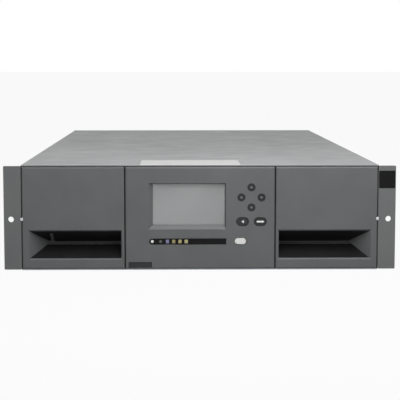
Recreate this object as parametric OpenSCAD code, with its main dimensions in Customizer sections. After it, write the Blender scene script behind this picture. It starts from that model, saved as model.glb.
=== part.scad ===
// Data tape library for a 19 inch rack, three units tall. Two pull-out magazines of
// half-inch tape cartridges stand either side of an aisle, where a robot lifts, travels,
// turns and grips, and carries cartridges to three tape drives at the back.
// X runs across the rack, Y from front to back and Z up. Lengths are millimetres, and
// angles degrees. Depths called _y count backwards from the front face.

/* [Case] */
// Width of each rack ear
ear_w = 21.3; // [18:0.1:24]
// Thickness of the folded sheet metal
sheet = 1.2; // [0.8:0.1:1.5]
// Space between the top row of cartridges and the cover
top_clear = 2.3; // [1.5:0.1:10]
// Clearance between sheet metal parts that are screwed together
seam_gap = 0.2; // [0.1:0.1:0.5]

/* [Rack ears] */
// Thickness of the ear plates
ear_t = 3; // [2:0.5:4]
// Distance from the case's side to a rack screw hole
hole_inset = 12.55; // [11:0.05:14]
// Diameter of the rack screw holes
hole_d = 7; // [6:0.1:8]
// Height of the rack screw holes above the base
hole_z = 63.3; // [55:0.1:75]
// Length of the leg that screws to the side wall
ear_leg = 38; // [25:1:60]

/* [Front] */
// Depth of the moulded front panels
bezel_d = 20; // [16:1:24]
// Wall of the moulded front panels
bezel_wall = 2.2; // [1.8:0.1:3]
// Thickness of the moulded front faces
face_t = 3; // [2.5:0.1:3.5]
// Gap between neighbouring front panels
panel_gap = 1; // [0.6:0.1:1.4]
// Gap under the front panels
bezel_z0 = 1.5; // [1:0.1:3]
// Gap between the front panels and the top of the case
bezel_top_gap = 2; // [1.5:0.1:3]
// Radius of the moulded edges
edge_r = 2; // [1:0.5:3]

/* [Pull recesses] */
// Depth of a recess at its inner ridge
pull_depth = 30; // [20:1:34]
// Lower edge of a recess
pull_z0 = 14.2; // [12:0.1:18]
// Height of a recess
pull_h = 34.7; // [28:0.1:38]
// Distance from the inner edge of the bezel to the recess
pull_inner = 4.1; // [3.5:0.1:12]
// Distance from the outer edge of the bezel to the recess
pull_margin = 9; // [8:0.5:12]
// How far the outer facet slopes in
pull_slope = 23; // [15:1:35]
// Width of the bevel round a recess
pull_bevel = 1.2; // [0.5:0.1:2]

/* [Display] */
// Distance from the panel's left edge to the screen
screen_left = 33.7; // [30:0.1:40]
// Height from the indicator strip to the screen
screen_rise = 16.25; // [14:0.25:20]
// Width of the visible screen
screen_w = 89; // [80:0.5:92]
// Height of the visible screen
screen_h = 51; // [45:0.5:54]
// Width of the sloped frame at the left and the bottom of the screen
frame_wide = 5; // [3:0.5:6]
// Width of the sloped frame at the right and the top of the screen
frame_slim = 1.2; // [0.8:0.1:2]
// Thickness of the clear window
window_t = 1.5; // [1:0.1:2]

/* [Lights and keys] */
// Height of the indicator strip
strip_h = 7.5; // [6:0.1:9]
// How much wider the indicator strip is than the screen
strip_extra = 6; // [2:0.5:8]
// Centre height of the indicator strip
strip_z = 35.5; // [33:0.5:38]
// Diameter of a round indicator light
light_d = 3.8; // [3:0.1:4.5]
// Distance from the screen to the centre of the arrow keys
keys_offset = 32.8; // [32:0.1:40]
// Distance from the centre of the arrow keys to the panel's right edge
keys_right = 28.9; // [27:0.1:36]
// Centre of the arrow keys above the base
keys_z = 90; // [85:0.5:95]
// Distance from the centre to each arrow key
keys_r = 12.4; // [11.5:0.1:14]
// Diameter of an arrow key
key_d = 8.4; // [7:0.1:9]
// Gap round every key
key_gap = 0.7; // [0.4:0.1:0.9]
// Travel of a key
key_travel = 1.5; // [0.8:0.1:2]

/* [Cartridges] */
// Length of a cartridge, from the aisle outwards
cart_l = 102; // [100:0.5:104]
// Width of a cartridge
cart_w = 105.4; // [104:0.2:106]
// Height of a cartridge
cart_h = 21.5; // [21:0.1:21.8]
// Slots along a magazine
cart_cols = 4; // [3:1:5]
// Slots up a magazine
cart_rows = 5; // [3:1:5]
// Space between neighbouring cartridges along a magazine
col_gap = 4.6; // [4.2:0.1:6]
// Space between cartridges one above the other
row_gap = 1; // [0.9:0.1:1.1]

/* [Magazines] */
// Side wall of a magazine
mag_wall = 2.5; // [1.5:0.1:3]
// Divider between columns
divider_t = 2; // [1.4:0.1:2.4]
// Shelf under a cartridge
ledge_t = 0.8; // [0.6:0.1:0.8]
// Room for the side slides
slide_gap = 12.3; // [11.5:0.1:13]
// Clearance of a running slide
slide_clear = 0.3; // [0.2:0.05:0.5]

/* [Robot] */
// Height from the floor of the case to the underside of the elevator
lift_base = 1.2; // [1.1:0.1:1.5]
// Module of the lifting racks and pinions
lift_mod = 0.8; // [0.7:0.05:0.85]
// Teeth of a lifting pinion
lift_teeth = 14; // [13:1:14]
// Module of the travel rack and pinion
travel_mod = 0.6; // [0.5:0.05:0.6]
// Teeth of the travel pinion
travel_teeth = 12; // [12:1:12]
// Module of the turning gears
turn_mod = 1; // [0.8:0.1:1]
// Teeth of the turntable gear
turn_teeth = 90; // [84:6:90]
// Teeth of the turning pinion
turn_pinion_teeth = 15; // [13:2:15]
// Face width of the lifting pinions and racks
rack_w = 5; // [4:0.5:5]
// Play between meshing teeth
backlash = 0.12; // [0.08:0.01:0.2]
// Running clearance of a shaft in its bearing
bearing_clear = 0.05; // [0.02:0.01:0.08]
// Diameter of the lifting shafts
shaft_d = 5; // [4:0.5:5]
// Free space between the control panel and the turntable
robot_front = 71; // [71:1:80]
// Radius that the turning tray sweeps
tray_r = 94; // [90:0.5:104]
// Space between the turning tray and the cartridges
aisle_clear = 7.5; // [7:0.5:9]
// Thickness of a gripper finger
finger_t = 2; // [1.6:0.1:2]

/* [Drives] */
// Width of a tape drive
drive_w = 146; // [142:1:148]
// Depth of a tape drive
drive_l = 205; // [200:1:215]
// Room behind a drive for its interface card
drive_back = 48.5; // [40:0.5:60]
// Drives one above the other
drives = 3; // [3:1:3]
// Play between one drive sled and the next
sled_gap = 0.6; // [0.4:0.1:1]

/* [Power and control] */
// Width of a power supply
psu_w = 108; // [96:1:112]
// Height of a power supply
psu_h = 41; // [38:0.5:42]
// Depth of a power supply
psu_l = 190; // [160:1:200]
// Space between the controller sled and the side wall
ctrl_margin = 13.6; // [10:0.2:18]
// Height of the controller sled
ctrl_h = 62; // [55:1:70]
// How far the pull handles stand out at the back
handle_out = 20; // [15:1:24]

/* [Hidden] */
$fn = 48;
eps = 0.01;

// Heights
lift_z0 = sheet + lift_base;
flange_t = 1.5;
flange_z = lift_z0 + flange_t;
shaft_z = flange_z + 4.6;
plate_z = flange_z + 0.2;
plate_t = 2;
gear_z = lift_z0 + 8;
tray_z = lift_z0 + 11.1;
tray_floor = 1.5;
cart_z = tray_z + tray_floor;
row_pitch = cart_h + row_gap;
lift_travel = (cart_rows - 1) * row_pitch;
mag_floor_t = 1.6;
mag_z0 = cart_z - mag_floor_t;
mag_top = cart_z + cart_rows * row_pitch - row_gap;
cover_z = mag_top + top_clear;
case_h = cover_z + sheet;

// Widths
cart_near = tray_r + aisle_clear;
cart_far = cart_near + cart_l;
mag_out = cart_far + 0.5 + mag_wall;
wall_in = mag_out + slide_gap;
body_w = 2 * (wall_in + sheet);
hole_span = body_w + 2 * hole_inset;
rack_x = cart_near - 5 - rack_w;
web_out = rack_x - 1;
web_in = web_out - 2.5;
flange_in = web_in - 11;
panel_w = screen_left + screen_w + keys_offset + keys_right;
panel_x = panel_w / 2;
display_x = -panel_x + screen_left + screen_w / 2;
display_z = strip_z + strip_h / 2 + screen_rise + screen_h / 2;
keys_x = panel_x - keys_right;
strip_w = screen_w + strip_extra;
bezel_in = panel_x + panel_gap;
bezel_out = body_w / 2 - 0.7;

// Depths
col_pitch = cart_w + col_gap;
col_y = robot_front + tray_r;
last_col_y = col_y + (cart_cols - 1) * col_pitch;
travel = last_col_y - col_y;
mag_y1 = last_col_y + col_pitch / 2 + divider_t / 2;
drive_y = last_col_y + cart_near;
body_d = drive_y + drive_l + drive_back;
overall_d = body_d + handle_out;
front_rack_y = robot_front + 3;
rear_rack_y = drive_y - 22.1;
lift_r = lift_mod * lift_teeth / 2;
front_shaft_y = front_rack_y + lift_r;
rear_shaft_y = rear_rack_y + lift_r;

// Gears
pressure = 20;
add_f = 0.85;
ded_f = 1.3;
travel_r = travel_mod * travel_teeth / 2;
travel_z = flange_z + travel_mod * ded_f + 0.22 + travel_r;
turn_r = turn_mod * turn_teeth / 2;
turn_pinion_r = turn_mod * turn_pinion_teeth / 2;
travel_pinion_x = web_in - 3;
travel_y = col_y + 33;
pulley_r = 3.4;
belt_t = 0.8;

// Pull recess and keys
pull_x1 = bezel_out - pull_margin;
pull_x0 = bezel_in + pull_inner;
pull_back = pull_depth + 2;
cap_y = 0.4;
key_flange_y = face_t + 0.3;
board_y = 12;

// Puts front-face depths into the part's own frame, whose origin is the middle of the base.
module placed() {
    translate([0, -overall_d / 2, 0]) children();
}

// Builds the left-hand copy of a right-hand part.
module left_side() {
    mirror([1, 0, 0]) children();
}

module box(x0, y0, z0, x1, y1, z1) {
    translate([x0, y0, z0]) cube([x1 - x0, y1 - y0, z1 - z0]);
}

module rod_x(x0, x1, y, z, d) {
    translate([x0, y, z]) rotate([0, 90, 0]) cylinder(h = x1 - x0, d = d);
}

module rod_y(x, y0, y1, z, d) {
    translate([x, y0, z]) rotate([-90, 0, 0]) cylinder(h = y1 - y0, d = d);
}

module rod_z(x, y, z0, z1, d) {
    translate([x, y, z0]) cylinder(h = z1 - z0, d = d);
}

// A flat rectangle with true round corners.
module round_rect(w, h, r) {
    square([w - 2 * r, h], center = true);
    square([w, h - 2 * r], center = true);
    for (sx = [-1, 1]) {
        for (sy = [-1, 1]) {
            translate([sx * (w / 2 - r), sy * (h / 2 - r)]) circle(r = r);
        }
    }
}

// An upright plate with a rounded outline, seen from the front.
module face_plate(x, z, w, h, r, y0, y1) {
    translate([x, y1, z]) rotate([90, 0, 0]) linear_extrude(y1 - y0) round_rect(w, h, r);
}

// A profile in depth and height, carried across from x0 to x1.
module along_x(x0, x1) {
    translate([x0, 0, 0]) rotate([90, 0, 90]) linear_extrude(x1 - x0) children();
}

// Involute gears. The tooth's half angle at radius r grows from the pitch circle inwards.
function inv(a) = tan(a) * 180 / PI - a;
function tooth_half(r, rb, rp, n) =
    90 / n - backlash / 2 / rp * 180 / PI + inv(pressure) - (r <= rb ? 0 : inv(acos(rb / r)));
function polar(r, a) = [r * cos(a), r * sin(a)];
function gear_radii(m, n) =
    let (rp = m * n / 2, rb = rp * cos(pressure), rr = rp - m * ded_f, rt = rp + m * add_f)
    let (lo = max(rr + 0.05, rb + 0.001))
    [rr, for (i = [0:3]) lo + (rt - lo) * i / 3];
function gear_points(m, n, a0) =
    let (rp = m * n / 2, rb = rp * cos(pressure), rs = gear_radii(m, n), k = len(rs) - 1)
    [for (i = [0:n - 1]) let (a = a0 + 360 * i / n)
        each concat([for (r = rs) polar(r, a - tooth_half(r, rb, rp, n))],
            [for (j = [k:-1:0]) polar(rs[j], a + tooth_half(rs[j], rb, rp, n))])];

// Rack teeth point along +X from the pitch line, with a space centred on y = 0.
function rack_points(m, k0, k1, back) =
    let (p = PI * m, half = (p / 2 - backlash) / 2, t = tan(pressure))
    let (tip = half - m * add_f * t, root = half + m * ded_f * t)
    concat([[-m * ded_f - back, (k0 - 0.2) * p]],
        [for (k = [k0:k1 - 1]) let (c = (k + 0.5) * p)
            each [[-m * ded_f, c - root], [m * add_f, c - tip],
                [m * add_f, c + tip], [-m * ded_f, c + root]]],
        [[-m * ded_f - back, (k1 + 0.2) * p]]);

// A closed flat belt round two equal pulleys.
module belt_loop(x, y0, z0, y1, z1, r, w) {
    run = norm([y1 - y0, z1 - z0]);
    translate([x, y0, z0]) rotate([atan2(z1 - z0, y1 - y0), 0, 0]) rotate([90, 0, 90])
    linear_extrude(w) difference() {
        union() {
            circle(r = r + belt_t);
            translate([run, 0]) circle(r = r + belt_t);
            translate([0, -r - belt_t]) square([run, 2 * (r + belt_t)]);
        }
        circle(r = r);
        translate([run, 0]) circle(r = r);
        translate([0, -r]) square([run, 2 * r]);
    }
}

// ---------------------------------------------------------------- case

module chassis_base() color("#8e9194") placed() {
    floor_y = 2;
    difference() {
        union() {
            box(-body_w / 2, floor_y, 0, body_w / 2, body_d, sheet);
            for (s = [-1, 1]) {
                box(s > 0 ? wall_in : -body_w / 2, bezel_d + panel_gap, 0,
                    s > 0 ? body_w / 2 : -wall_in, body_d, cover_z);
            }
        }
        // Cooling slots low in both side walls, at the drives and power supplies
        for (i = [0:11]) {
            for (j = [0:2]) {
                face_vent(drive_y + 30 + i * 18, 20 + j * 16);
            }
        }
    }
}

module face_vent(y, z) {
    box(-body_w / 2 - 1, y, z, body_w / 2 + 1, y + 12, z + 3);
}

module top_cover() color("#a3a6a8") placed() {
    flange_x = wall_in - seam_gap;
    difference() {
        union() {
            box(-body_w / 2, 1, cover_z, body_w / 2, body_d, case_h);
            for (s = [-1, 1]) {
                box(s > 0 ? flange_x - sheet : -flange_x, bezel_d + 6, cover_z - 9,
                    s > 0 ? flange_x : -flange_x + sheet, body_d - 4, cover_z + eps);
            }
        }
        label_shape(0.3);
        // Joint between the front cover and the lid over the rear modules
        box(-body_w, lid_y, case_h - 0.5, body_w, lid_y + 1, case_h + 1);
    }
}
lid_y = 534;

module label_shape(depth) {
    x = label_x - label_w / 2;
    box(x, label_y, case_h - depth, x + label_w, label_y + label_l, case_h + 1);
}
label_x = -12;
label_y = 1.6;
label_w = 124;
label_l = 85;

module label_strip() color("#d9dad8") placed() {
    intersection() {
        label_shape(0.3);
        box(-body_w, 0, 0, body_w, body_d, case_h - 0.05);
    }
}

// Rear frame, the same on both sides of the drives: an outer and an inner post, and between them
// a sill under the modules and a slotted plate above, each riveted to the base and the cover
module rear_panel() color("#8e9194") placed() {
    rear_side(-wall_in + seam_gap, psu_x0 - bay_gap, psu_x0 + psu_w + bay_gap, -cage_x - 0.5,
        psu_z(1) + psu_h + bay_gap, psu_x0 + 4);
    rear_side(cage_x + 0.5, ctrl_x0 - bay_gap, ctrl_x0 + ctrl_w + bay_gap, wall_in - seam_gap,
        ctrl_z + ctrl_h + bay_gap, ctrl_x0 + 4);
}
bay_gap = 0.6;
vents = 10;
vent_pitch = 10.4;
vent_w = 6;

module rear_side(x0, bay_x0, bay_x1, x1, bay_top, slots_x) {
    y0 = body_d - sheet;
    z0 = sheet + seam_gap;
    z1 = cover_z - seam_gap;
    plate_x0 = bay_x0 + seam_gap;
    plate_x1 = bay_x1 - seam_gap;
    box(x0, y0, z0, bay_x0, body_d, z1);
    box(bay_x1, y0, z0, x1, body_d, z1);
    box(plate_x0, y0, z0, plate_x1, body_d, shelf_z0 - bay_gap);
    difference() {
        box(plate_x0, y0, bay_top, plate_x1, body_d, z1);
        for (i = [0:vents - 1]) {
            x = slots_x + i * vent_pitch;
            box(x, y0 - 1, vent_z0, x + vent_w, body_d + 1, vent_z1);
        }
    }
}

module rack_ears() color("#6c6d6f") placed() {
    for (s = [-1, 1]) {
        difference() {
            union() {
                // Front plate with rounded outer corners
                face_plate(s * (body_w / 2 + ear_w / 2), case_h / 2, ear_w, case_h - 2, 1.2,
                    0, ear_t);
                // Leg along the side wall
                box(s > 0 ? body_w / 2 : -body_w / 2 - 2, ear_t - eps, 5,
                    s > 0 ? body_w / 2 + 2 : -body_w / 2, ear_leg, case_h - 5);
            }
            rod_y(s * hole_span / 2, -1, ear_t + 1, hole_z, hole_d);
            rod_y(s * (body_w / 2 - 0.5), -1, ear_t - 1, hole_z, stud_d + 1);
            if (s > 0) {
                face_plate(body_w / 2 + ear_w / 2, case_h - 18, ear_w - 1, 22, 1, -1, 0.5);
            }
            for (z = ear_screw_z) {
                rod_x(s > 0 ? 0 : -body_w, s > 0 ? body_w : 0, ear_screw_y, z, 3.2);
            }
        }
    }
}
stud_d = 4.4;
ear_screw_z = [22, case_h - 22];
ear_screw_y = 26;

// Pan head screws: two in each ear leg, and four along each edge of the cover
module case_screws() color("#b9bbbd") placed() {
    for (s = [-1, 1]) {
        for (z = ear_screw_z) {
            side_screw(s, body_w / 2 + 2, ear_screw_y, z);
        }
        for (i = [0:3]) {
            side_screw(s, body_w / 2, 80 + i * (body_d - 130) / 3, cover_z - 5);
        }
        // Captive stud beside the bezel
        rod_y(s * (body_w / 2 - 0.5), 0.6, ear_t - 1, hole_z, stud_d);
    }
}

module side_screw(s, x, y, z) {
    rod_x(s > 0 ? x : -x - 1.4, s > 0 ? x + 1.4 : -x, y, z, 6);
}

// ---------------------------------------------------------------- control panel

module front_frame() color("#3a3b3d") placed() {
    x = panel_x - 2;
    z0 = sheet;
    z1 = cover_z;
    difference() {
        union() {
            box(-x, bezel_d, z0, x, bezel_d + sheet, z1);
            for (s = [-1, 1]) {
                box(s > 0 ? x - sheet : -x, bezel_d, z0, s > 0 ? x : -x + sheet,
                    bezel_d + 22, z1);
            }
        }
        face_plate(display_x, display_z, screen_w - 20, screen_h - 16, 3, bezel_d - 1,
            bezel_d + 3);
        face_plate(keys_x, 60, 22, 60, 3, bezel_d - 1, bezel_d + 3);
        box(info_x0 - 0.6, bezel_d - 1, info_z0 - 0.6, info_x0 + info_w + 0.6, bezel_d + 3,
            info_z0 + info_h + 0.6);
    }
}

// A moulded shell: rounded front edges, open at the back.
module moulded_shell(x0, x1) {
    z0 = bezel_z0;
    z1 = cover_z - bezel_top_gap + sheet;
    difference() {
        intersection() {
            along_x(x0, x1) front_round(z0, z1, bezel_d);
            translate([0, 0, z0]) linear_extrude(z1 - z0) mirror([1, -1, 0])
                front_round(x0, x1, bezel_d);
        }
        box(x0 + bezel_wall, face_t, z0 + bezel_wall, x1 - bezel_wall, bezel_d + 1,
            z1 - bezel_wall);
    }
}

// Depth profile from a to b, with both front corners rounded.
module front_round(a, b, depth) {
    translate([edge_r, a]) square([depth - edge_r, b - a]);
    translate([0, a + edge_r]) square([depth, b - a - 2 * edge_r]);
    translate([edge_r, a + edge_r]) circle(r = edge_r);
    translate([edge_r, b - edge_r]) circle(r = edge_r);
}

module screen_opening() {
    d = face_t + 1;
    zs = [display_z - screen_h / 2 - frame_wide, display_z + screen_h / 2 + frame_slim];
    xs = [display_x - screen_w / 2 - frame_wide, display_x + screen_w / 2 + frame_slim];
    intersection() {
        along_x(-body_w, body_w) polygon([[-1, zs[0]], [0, zs[0]],
            [d, display_z - screen_h / 2], [d + 1, display_z - screen_h / 2],
            [d + 1, display_z + screen_h / 2], [d, display_z + screen_h / 2],
            [0, zs[1]], [-1, zs[1]]]);
        linear_extrude(case_h) polygon([[xs[0], -1], [xs[0], 0],
            [display_x - screen_w / 2, d], [display_x - screen_w / 2, d + 1],
            [display_x + screen_w / 2, d + 1], [display_x + screen_w / 2, d],
            [xs[1], 0], [xs[1], -1]]);
    }
}

module strip_outline(grow) {
    r = strip_h / 2 + grow;
    square_w = strip_w - strip_h / 2;
    translate([0, -r]) square([square_w + grow, 2 * r]);
    circle(r = r);
}

module strip_block(grow, y0, y1) {
    translate([strip_x0, y1, strip_z]) rotate([90, 0, 0])
        linear_extrude(y1 - y0) strip_outline(grow);
}
strip_x0 = display_x - 45;

module panel_bezel() color("#565759") placed() {
    module_x = screen_w / 2 + 6;
    module_z = screen_h / 2 + 6;
    difference() {
        union() {
            moulded_shell(-panel_x, panel_x);
            // Thickened surround that carries the window
            box(display_x - module_x, 1, display_z - module_z, display_x + module_x,
                face_t + 1, display_z + module_z);
            // Rails that hold the display module
            for (s = [-1, 1]) {
                box(display_x - 30, face_t, display_z + s * (module_z + 1) - 1,
                    display_x + 30, 15, display_z + s * (module_z + 1) + 1);
            }
            // Screw pillars of the keypad board
            for (x = [keys_x - 20, keys_x + 20]) {
                for (z = [26, keys_z + 21]) {
                    rod_y(x, 1, board_y, z, 5);
                }
            }
            // Sleeve of the information tab
            box(info_x0 - 1.2, 1, bezel_z0 + 0.5, info_x0 + info_w + 1.2, bezel_d,
                info_z0 + info_h + 1.6);
        }
        screen_opening();
        strip_block(0.1, -1, 2);
        strip_block(-1, -1, face_t + 1);
        for (p = arrow_places) {
            rod_y(p[0], -1, face_t + 1, p[1], key_d + 2 * key_gap);
        }
        for (x = soft_x) {
            face_plate(x, soft_z, soft_w + 2 * key_gap, soft_h + 2 * key_gap,
                soft_h / 2 + key_gap - eps, -1, face_t + 1);
        }
        face_plate(power_x, power_z, power_w + 2 * key_gap, power_h + 2 * key_gap,
            power_h / 2 + key_gap - eps, -1, face_t + 1);
        // Slot of the information tab
        box(info_x0 - 0.4, -1, info_z0 - 0.4, info_x0 + info_w + 0.4, bezel_d + 1,
            info_z0 + info_h + 0.4);
    }
}

module display_window() color("#8b9296", 0.5) placed() {
    box(display_x - screen_w / 2 - 4, face_t + 1, display_z - screen_h / 2 - 4,
        display_x + screen_w / 2 + 4, face_t + 1 + window_t, display_z + screen_h / 2 + 4);
}

module display_module() color("#9a9c9e") placed() {
    y0 = face_t + 1 + window_t;
    difference() {
        box(display_x - screen_w / 2 - 6, y0, display_z - screen_h / 2 - 5.8,
            display_x + screen_w / 2 + 6, 14.5, display_z + screen_h / 2 + 5.8);
        box(display_x - screen_w / 2 - 1, y0 - 1, display_z - screen_h / 2 - 1,
            display_x + screen_w / 2 + 1, y0 + 0.8, display_z + screen_h / 2 + 1);
    }
}

module indicator_strip() color("#0d0d0e") placed() {
    difference() {
        union() {
            strip_block(0, 0.3, 2);
            strip_block(-1.1, 2 - eps, board_y - 1.6);
        }
        lens_shapes(0.05, -1, 2.6);
    }
}

module lens_shapes(grow, y0, y1) {
    for (x = light_x) {
        rod_y(strip_x0 + x, y0, y1, strip_z, light_d + 2 * grow);
    }
    for (x = lamp_x) {
        face_plate(strip_x0 + x, strip_z, 4.2 + 2 * grow, 4.8 + 2 * grow, 0.5, y0, y1);
    }
}
light_x = [0, 10.3];
lamp_x = [18.7, 26.4, 34.1, 41.8];

module indicator_lenses() color("#c9c090") placed() {
    lens_shapes(0, 0.4, 2.6);
}

arrow_places = [[keys_x, keys_z + keys_r], [keys_x, keys_z - keys_r],
    [keys_x - keys_r, keys_z], [keys_x + keys_r, keys_z]];
soft_x = [keys_x - 11, keys_x + 11];
soft_z = keys_z - 30;
soft_w = 14.4;
soft_h = 9.6;
power_x = keys_x - 13.4;
power_z = strip_z + 0.4;
power_w = 13.6;
power_h = 7.6;

module keypad_board() color("#2d5b3c") placed() {
    box(keys_x - 24, board_y, 22, keys_x + 24, board_y + 1.6, keys_z + 25);
    // Tactile switches under every key
    for (p = concat(arrow_places, [[soft_x[0], soft_z], [soft_x[1], soft_z],
            [power_x, power_z]])) {
        rod_y(p[0], board_y - 1.2, board_y, p[1], 5);
    }
    // Light board behind the indicator strip
    box(strip_x0 - 3, board_y - 1.6, strip_z - 6, strip_x0 + strip_w - 4, board_y, strip_z + 6);
}

// A key: cap, retaining flange behind the face, and stem down to its switch
module key_stem(p) {
    rod_y(p[0], key_flange_y + 1.2 - eps, board_y - 1.2 - key_travel - 0.3, p[1], 4);
}

module arrow_key(p) color("#4b4c4e") placed() {
    rod_y(p[0], cap_y, key_flange_y + eps, p[1], key_d);
    rod_y(p[0], key_flange_y, key_flange_y + 1.2, p[1], key_d + 3);
    key_stem(p);
}

module oval_key(x, z, w, h, shade) color(shade) placed() {
    face_plate(x, z, w, h, h / 2 - eps, cap_y, key_flange_y + eps);
    face_plate(x, z, w + 3, h + 3, 3, key_flange_y, key_flange_y + 1.2);
    key_stem([x, z]);
}

module up_key() { arrow_key(arrow_places[0]); }
module down_key() { arrow_key(arrow_places[1]); }
module left_key() { arrow_key(arrow_places[2]); }
module right_key() { arrow_key(arrow_places[3]); }
module back_key() { oval_key(soft_x[0], soft_z, soft_w, soft_h, "#37383a"); }
module enter_key() { oval_key(soft_x[1], soft_z, soft_w, soft_h, "#37383a"); }
module power_key() { oval_key(power_x, power_z, power_w, power_h, "#e4e4e2"); }

// Pull-out information tab in the lower left corner of the panel
info_x0 = -panel_x + 4.2;
info_w = 28;
info_z0 = bezel_z0 + 2;
info_h = 6;
info_len = 39;

module info_tab() color("#2e2f31") placed() {
    box(info_x0, 0.4, info_z0, info_x0 + info_w, 3, info_z0 + info_h);
    box(info_x0 + 1, 3 - eps, info_z0 + 2.2, info_x0 + info_w - 1, info_len, info_z0 + 3.8);
}

// ---------------------------------------------------------------- magazines

// A recess shaped like the inside of a hipped roof: two slopes meet at a ridge, and the
// outer end slopes in as a triangle.
module pull_recess() {
    mid = pull_z0 + pull_h / 2;
    z1 = pull_z0 + pull_h;
    b = pull_bevel;
    intersection() {
        along_x(0, body_w) polygon([[-1, pull_z0 - b - 1], [b, pull_z0], [pull_depth, mid - 0.4],
            [pull_depth, mid + 0.4], [b, z1], [-1, z1 + b + 1]]);
        linear_extrude(case_h) polygon([[pull_x0 - b - 1, -1], [pull_x0, b],
            [pull_x0, pull_depth + 1], [pull_x1 - pull_slope, pull_depth + 1],
            [pull_x1 - pull_slope, pull_depth], [pull_x1, b], [pull_x1 + b + 1, -1]]);
    }
}

module bezel() {
    placed() difference() {
        union() {
            moulded_shell(bezel_in, bezel_out);
            // Pocket moulded behind the recess
            intersection() {
                box(bezel_in + 1, 1, pull_z0 - 3, pull_x1 + 3, pull_back, pull_z0 + pull_h + 3);
                union() {
                    along_x(0, body_w) polygon([[0, pull_z0 - 3], [pull_back, pull_z0 + 10],
                        [pull_back, pull_z0 + pull_h - 10], [0, pull_z0 + pull_h + 3]]);
                }
            }
        }
        pull_recess();
        // Notch for the captive stud in the ear
        rod_y(body_w / 2 - 0.5, -1, bezel_d + 1, hole_z, stud_d + 1);
    }
}

// The left-hand recess also has a slot for releasing the magazine by hand
module left_bezel() color("#5d5e60") difference() {
    left_side() bezel();
    placed() box(-release_x - release_w, 6, release_z, -release_x, pull_back + 1,
        release_z + release_h);
}
release_w = 3.7;
release_h = 10;
release_x = pull_x1 - pull_slope - 1.4;
release_z = pull_z0 + pull_h / 2 + 3.4;

module right_bezel() color("#5d5e60") bezel();

module magazine() placed() {
    front_y = bezel_d;
    runner_z = case_h / 2;
    difference() {
        union() {
            // Front wall behind the bezel, and the outer wall
            box(bezel_in + 1.5, front_y, pull_z0 - 9, mag_out, front_y + 1.6, mag_top);
            box(mag_out - mag_wall, front_y, mag_z0, mag_out, mag_y1, mag_top);
        }
        // Room for the pocket of the pull recess
        box(0, front_y - 1, pull_z0 - 3.4, body_w, pull_back + 0.4, pull_z0 + pull_h + 3.4);
    }
    // Slide member that runs in the side channel
    box(mag_out - eps, front_y + 30, runner_z - 7, mag_out + 8, mag_y1, runner_z + 7);
    // Floor
    box(cart_near + 1, pull_back + 2, mag_z0, mag_out, mag_y1, cart_z);
    for (i = [0:cart_cols]) {
        y = col_y - col_pitch / 2 + i * col_pitch;
        box(cart_near + 12, y - divider_t / 2, cart_z - eps, mag_out - mag_wall + eps,
            y + divider_t / 2, mag_top);
        for (k = [1:cart_rows - 1]) {
            z = cart_z + k * row_pitch;
            reach = col_gap / 2 + 4;
            box(cart_near + 12, i == 0 ? y - divider_t / 2 : y - reach, z - ledge_t,
                mag_out - mag_wall + eps, i == cart_cols ? y + divider_t / 2 : y + reach, z);
        }
    }
}

module left_magazine() color("#77797b") left_side() magazine();
module right_magazine() color("#77797b") magazine();

// A half-inch tape cartridge: bevelled corners, label recess, hub opening underneath
module cartridge() {
    bevel = 4;
    difference() {
        linear_extrude(cart_h) polygon([[0, -cart_w / 2], [cart_l - bevel, -cart_w / 2],
            [cart_l, -cart_w / 2 + bevel], [cart_l, cart_w / 2 - bevel],
            [cart_l - bevel, cart_w / 2], [0, cart_w / 2]]);
        box(-1, -cart_w / 2 + 14, 4.5, 0.6, cart_w / 2 - 14, cart_h - 4.5);
        rod_z(cart_l / 2, 0, -1, 1, 26);
        for (s = [-1, 1]) {
            box(14, s > 0 ? cart_w / 2 - 1.2 : -cart_w / 2 - 1, 5, 26,
                s > 0 ? cart_w / 2 + 1 : -cart_w / 2 + 1.2, cart_h - 5);
        }
    }
}

module cartridges() placed() {
    for (i = [0:cart_cols - 1]) {
        for (k = [0:cart_rows - 1]) {
            translate([cart_near, col_y + i * col_pitch, cart_z + k * row_pitch]) cartridge();
        }
    }
}

module left_cartridges() color("#26323f") left_side() cartridges();
module right_cartridges() color("#26323f") cartridges();

// Side channels and floor rails that the magazines run on
module magazine_guides() color("#a9abad") placed() {
    for (side = [0, 1]) {
        mirror([side, 0, 0]) {
            z0 = case_h / 2 - 7 - 1.2;
            z1 = case_h / 2 + 7 + 1.2;
            y0 = bezel_d + 24;
            x0 = mag_out + 2;
            difference() {
                box(x0, y0, z0 - slide_clear, wall_in, mag_y1 + 4, z1 + slide_clear);
                box(x0 - 1, y0 - 1, z0 + 1.2 - slide_clear, wall_in - 1.2, mag_y1 + 5,
                    z1 - 1.2 + slide_clear);
            }
            for (x = [cart_near + 10, mag_out - 16]) {
                floor_rail(x, pull_back + 8);
            }
        }
    }
}

module floor_rail(x, y0) {
    difference() {
        box(x, y0, sheet, x + 8, mag_y1, mag_z0 - slide_clear);
        box(x + 1.2, y0 - 1, sheet - 1, x + 6.8, mag_y1 + 1, mag_z0 - slide_clear - 1.2);
    }
}

// ---------------------------------------------------------------- robot

// Four toothed posts: the elevator climbs their racks
module lift_racks() color("#d8d6cf") placed() {
    p = PI * lift_mod;
    for (y = [front_rack_y, rear_rack_y]) {
        for (s = [0, 1]) {
            mirror([s, 0, 0]) {
                k0 = -floor((shaft_z - sheet - 1.5) / p);
                k1 = floor((lift_travel + 14) / p);
                translate([rack_x, y, shaft_z]) rotate([90, 0, 90])
                    linear_extrude(rack_w) polygon(rack_points(lift_mod, k0, k1, 5));
                box(rack_x - 10, y - 8, sheet, rack_x + rack_w, y - 0.5, lift_z0 - slide_clear);
                box(rack_x, y - 6, sheet, rack_x + rack_w, y - 2, shaft_z + lift_travel + 14);
            }
        }
    }
}

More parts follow.
